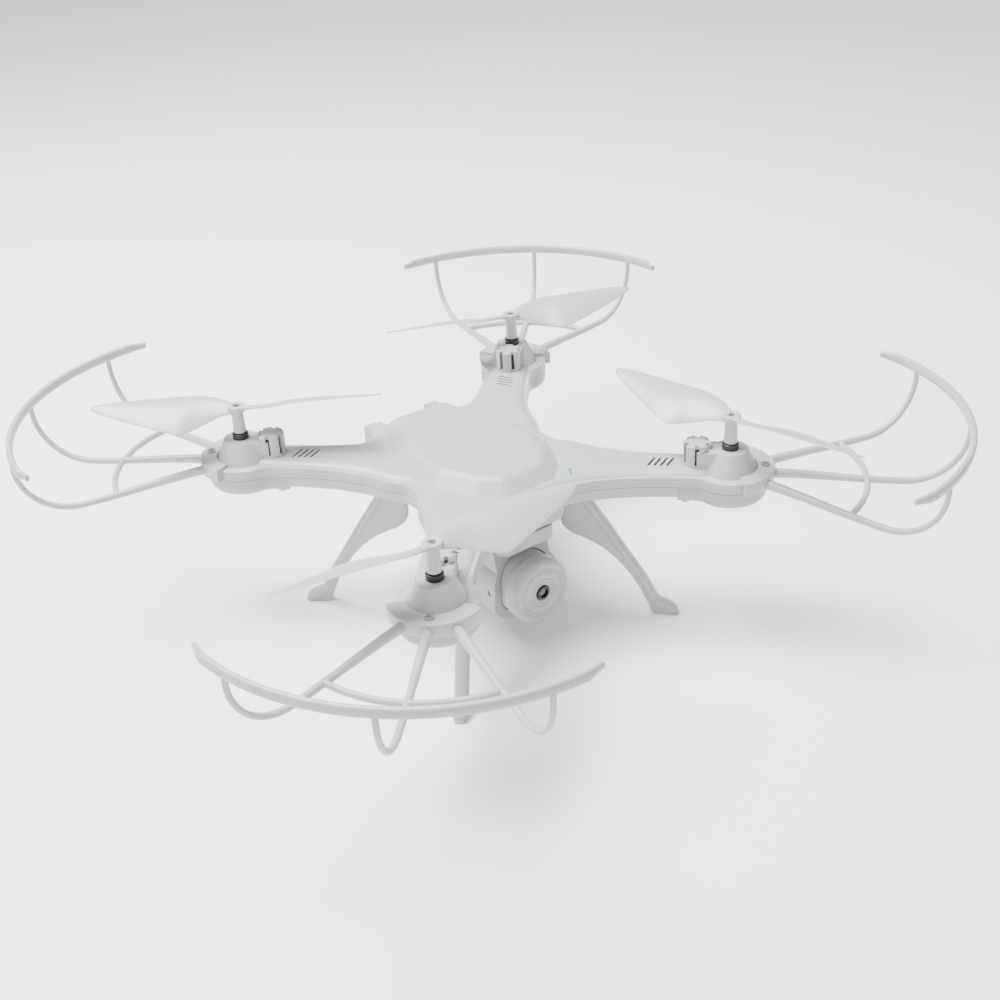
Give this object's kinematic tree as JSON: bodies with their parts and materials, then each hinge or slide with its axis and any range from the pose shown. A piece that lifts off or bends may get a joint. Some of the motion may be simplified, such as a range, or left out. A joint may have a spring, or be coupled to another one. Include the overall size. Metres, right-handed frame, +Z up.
{
  "type": "quadcopter drone",
  "caption": "Small white toy quadcopter with ring propeller guards, splayed landing legs and a round tilting camera under the nose",
  "frame": {"origin": "on the ground below the centre of the airframe, at the middle of the overall box", "axes": "+Z is up along the rotor shafts, the nose and camera face -Y, the battery door is at +Y and the right-hand arms are at +X"},
  "size_m": [0.364, 0.364, 0.1087],
  "materials": {
    "body_white": "semi-gloss moulded ABS, very light grey white",
    "cover_white": "semi-gloss moulded ABS, faintly lavender grey",
    "propeller_white": "thin semi-gloss moulded nylon",
    "black_plastic": "black moulded plastic",
    "led_green": "clear tinted light guide",
    "lens_glass": "dark coated glass",
    "gear_nylon": "natural white nylon",
    "bush_brass": "turned brass, satin",
    "motor_steel": "drawn steel can, satin",
    "shaft_steel": "ground steel rod",
    "screw_steel": "zinc plated steel",
    "board_green": "glass fibre board with green solder mask",
    "battery_wrap": "blue shrink wrap"
  },
  "bodies": {
    "airframe": {"top_shell": "body_white", "bottom_shell": "body_white", "led_indicator": "led_green", "pod_cover_front_left": "cover_white", "pod_cover_front_right": "cover_white", "pod_cover_rear_left": "cover_white", "pod_cover_rear_right": "cover_white", "shaft_collars": "black_plastic", "shaft_bushes": "bush_brass", "motor_front_left": "motor_steel", "motor_front_right": "motor_steel", "motor_rear_left": "motor_steel", "motor_rear_right": "motor_steel", "propeller_guard_front_left": "body_white", "propeller_guard_front_right": "body_white", "propeller_guard_rear_left": "body_white", "propeller_guard_rear_right": "body_white", "guard_screws": "screw_steel", "landing_leg_front_left": "body_white", "landing_leg_front_right": "body_white", "landing_leg_rear_left": "body_white", "landing_leg_rear_right": "body_white", "camera_housing": "body_white", "camera_tilt_pins": "shaft_steel", "battery": "battery_wrap", "circuit_board": "board_green", "board_components": "black_plastic", "board_screws": "screw_steel", "switch_body": "black_plastic", "case_screws": "screw_steel", "pod_cover_screws": "screw_steel"},
    "rotor_front_left": {"propeller_front_left": "propeller_white", "propeller_screw_front_left": "screw_steel", "prop_shaft_front_left": "shaft_steel", "main_gear_front_left": "gear_nylon"},
    "rotor_front_right": {"propeller_front_right": "propeller_white", "propeller_screw_front_right": "screw_steel", "prop_shaft_front_right": "shaft_steel", "main_gear_front_right": "gear_nylon"},
    "rotor_rear_left": {"propeller_rear_left": "propeller_white", "propeller_screw_rear_left": "screw_steel", "prop_shaft_rear_left": "shaft_steel", "main_gear_rear_left": "gear_nylon"},
    "rotor_rear_right": {"propeller_rear_right": "propeller_white", "propeller_screw_rear_right": "screw_steel", "prop_shaft_rear_right": "shaft_steel", "main_gear_rear_right": "gear_nylon"},
    "pinion_front_left": {"motor_pinion_front_left": "bush_brass"},
    "pinion_front_right": {"motor_pinion_front_right": "bush_brass"},
    "pinion_rear_left": {"motor_pinion_rear_left": "bush_brass"},
    "pinion_rear_right": {"motor_pinion_rear_right": "bush_brass"},
    "camera_unit": {"camera_head": "body_white", "lens_barrel": "black_plastic", "lens_glass": "lens_glass", "camera_board": "board_green"},
    "door": {"battery_door": "body_white"},
    "switch_slider": {"power_switch": "black_plastic"}
  },
  "joints": [
    {"name": "spin_front_left", "type": "hinge", "parent": "airframe", "child": "rotor_front_left", "pos_m": [-0.07955, -0.07955, 0.09], "axis": [0, 0, 1], "continuous": true},
    {"name": "spin_front_right", "type": "hinge", "parent": "airframe", "child": "rotor_front_right", "pos_m": [0.07955, -0.07955, 0.09], "axis": [0, 0, 1], "continuous": true},
    {"name": "spin_rear_left", "type": "hinge", "parent": "airframe", "child": "rotor_rear_left", "pos_m": [-0.07955, 0.07955, 0.09], "axis": [0, 0, 1], "continuous": true},
    {"name": "spin_rear_right", "type": "hinge", "parent": "airframe", "child": "rotor_rear_right", "pos_m": [0.07955, 0.07955, 0.09], "axis": [0, 0, 1], "continuous": true},
    {"name": "motor_spin_front_left", "type": "hinge", "parent": "airframe", "child": "pinion_front_left", "pos_m": [-0.0693, -0.0693, 0.071], "axis": [0, 0, 1], "continuous": true},
    {"name": "motor_spin_front_right", "type": "hinge", "parent": "airframe", "child": "pinion_front_right", "pos_m": [0.0693, -0.0693, 0.071], "axis": [0, 0, 1], "continuous": true},
    {"name": "motor_spin_rear_left", "type": "hinge", "parent": "airframe", "child": "pinion_rear_left", "pos_m": [-0.0693, 0.0693, 0.071], "axis": [0, 0, 1], "continuous": true},
    {"name": "motor_spin_rear_right", "type": "hinge", "parent": "airframe", "child": "pinion_rear_right", "pos_m": [0.0693, 0.0693, 0.071], "axis": [0, 0, 1], "continuous": true},
    {"name": "camera_tilt", "type": "hinge", "parent": "airframe", "child": "camera_unit", "pos_m": [0, -0.028, 0.029], "axis": [1, 0, 0], "range_deg": [-15, 20]},
    {"name": "door_hinge", "type": "hinge", "parent": "airframe", "child": "door", "pos_m": [0, 0.066, 0.0667], "axis": [-1, 0, 0], "range_deg": [0, 90]},
    {"name": "switch_slide", "type": "slide", "parent": "airframe", "child": "switch_slider", "axis": [1, 0, 0], "range_m": [0, 0.003]}
  ],
  "couplings": [
    {"joint": "motor_spin_front_left", "follows": "spin_front_left", "ratio": -6.25},
    {"joint": "motor_spin_front_right", "follows": "spin_front_right", "ratio": -6.25},
    {"joint": "motor_spin_rear_left", "follows": "spin_rear_left", "ratio": -6.25},
    {"joint": "motor_spin_rear_right", "follows": "spin_rear_right", "ratio": -6.25}
  ]
}
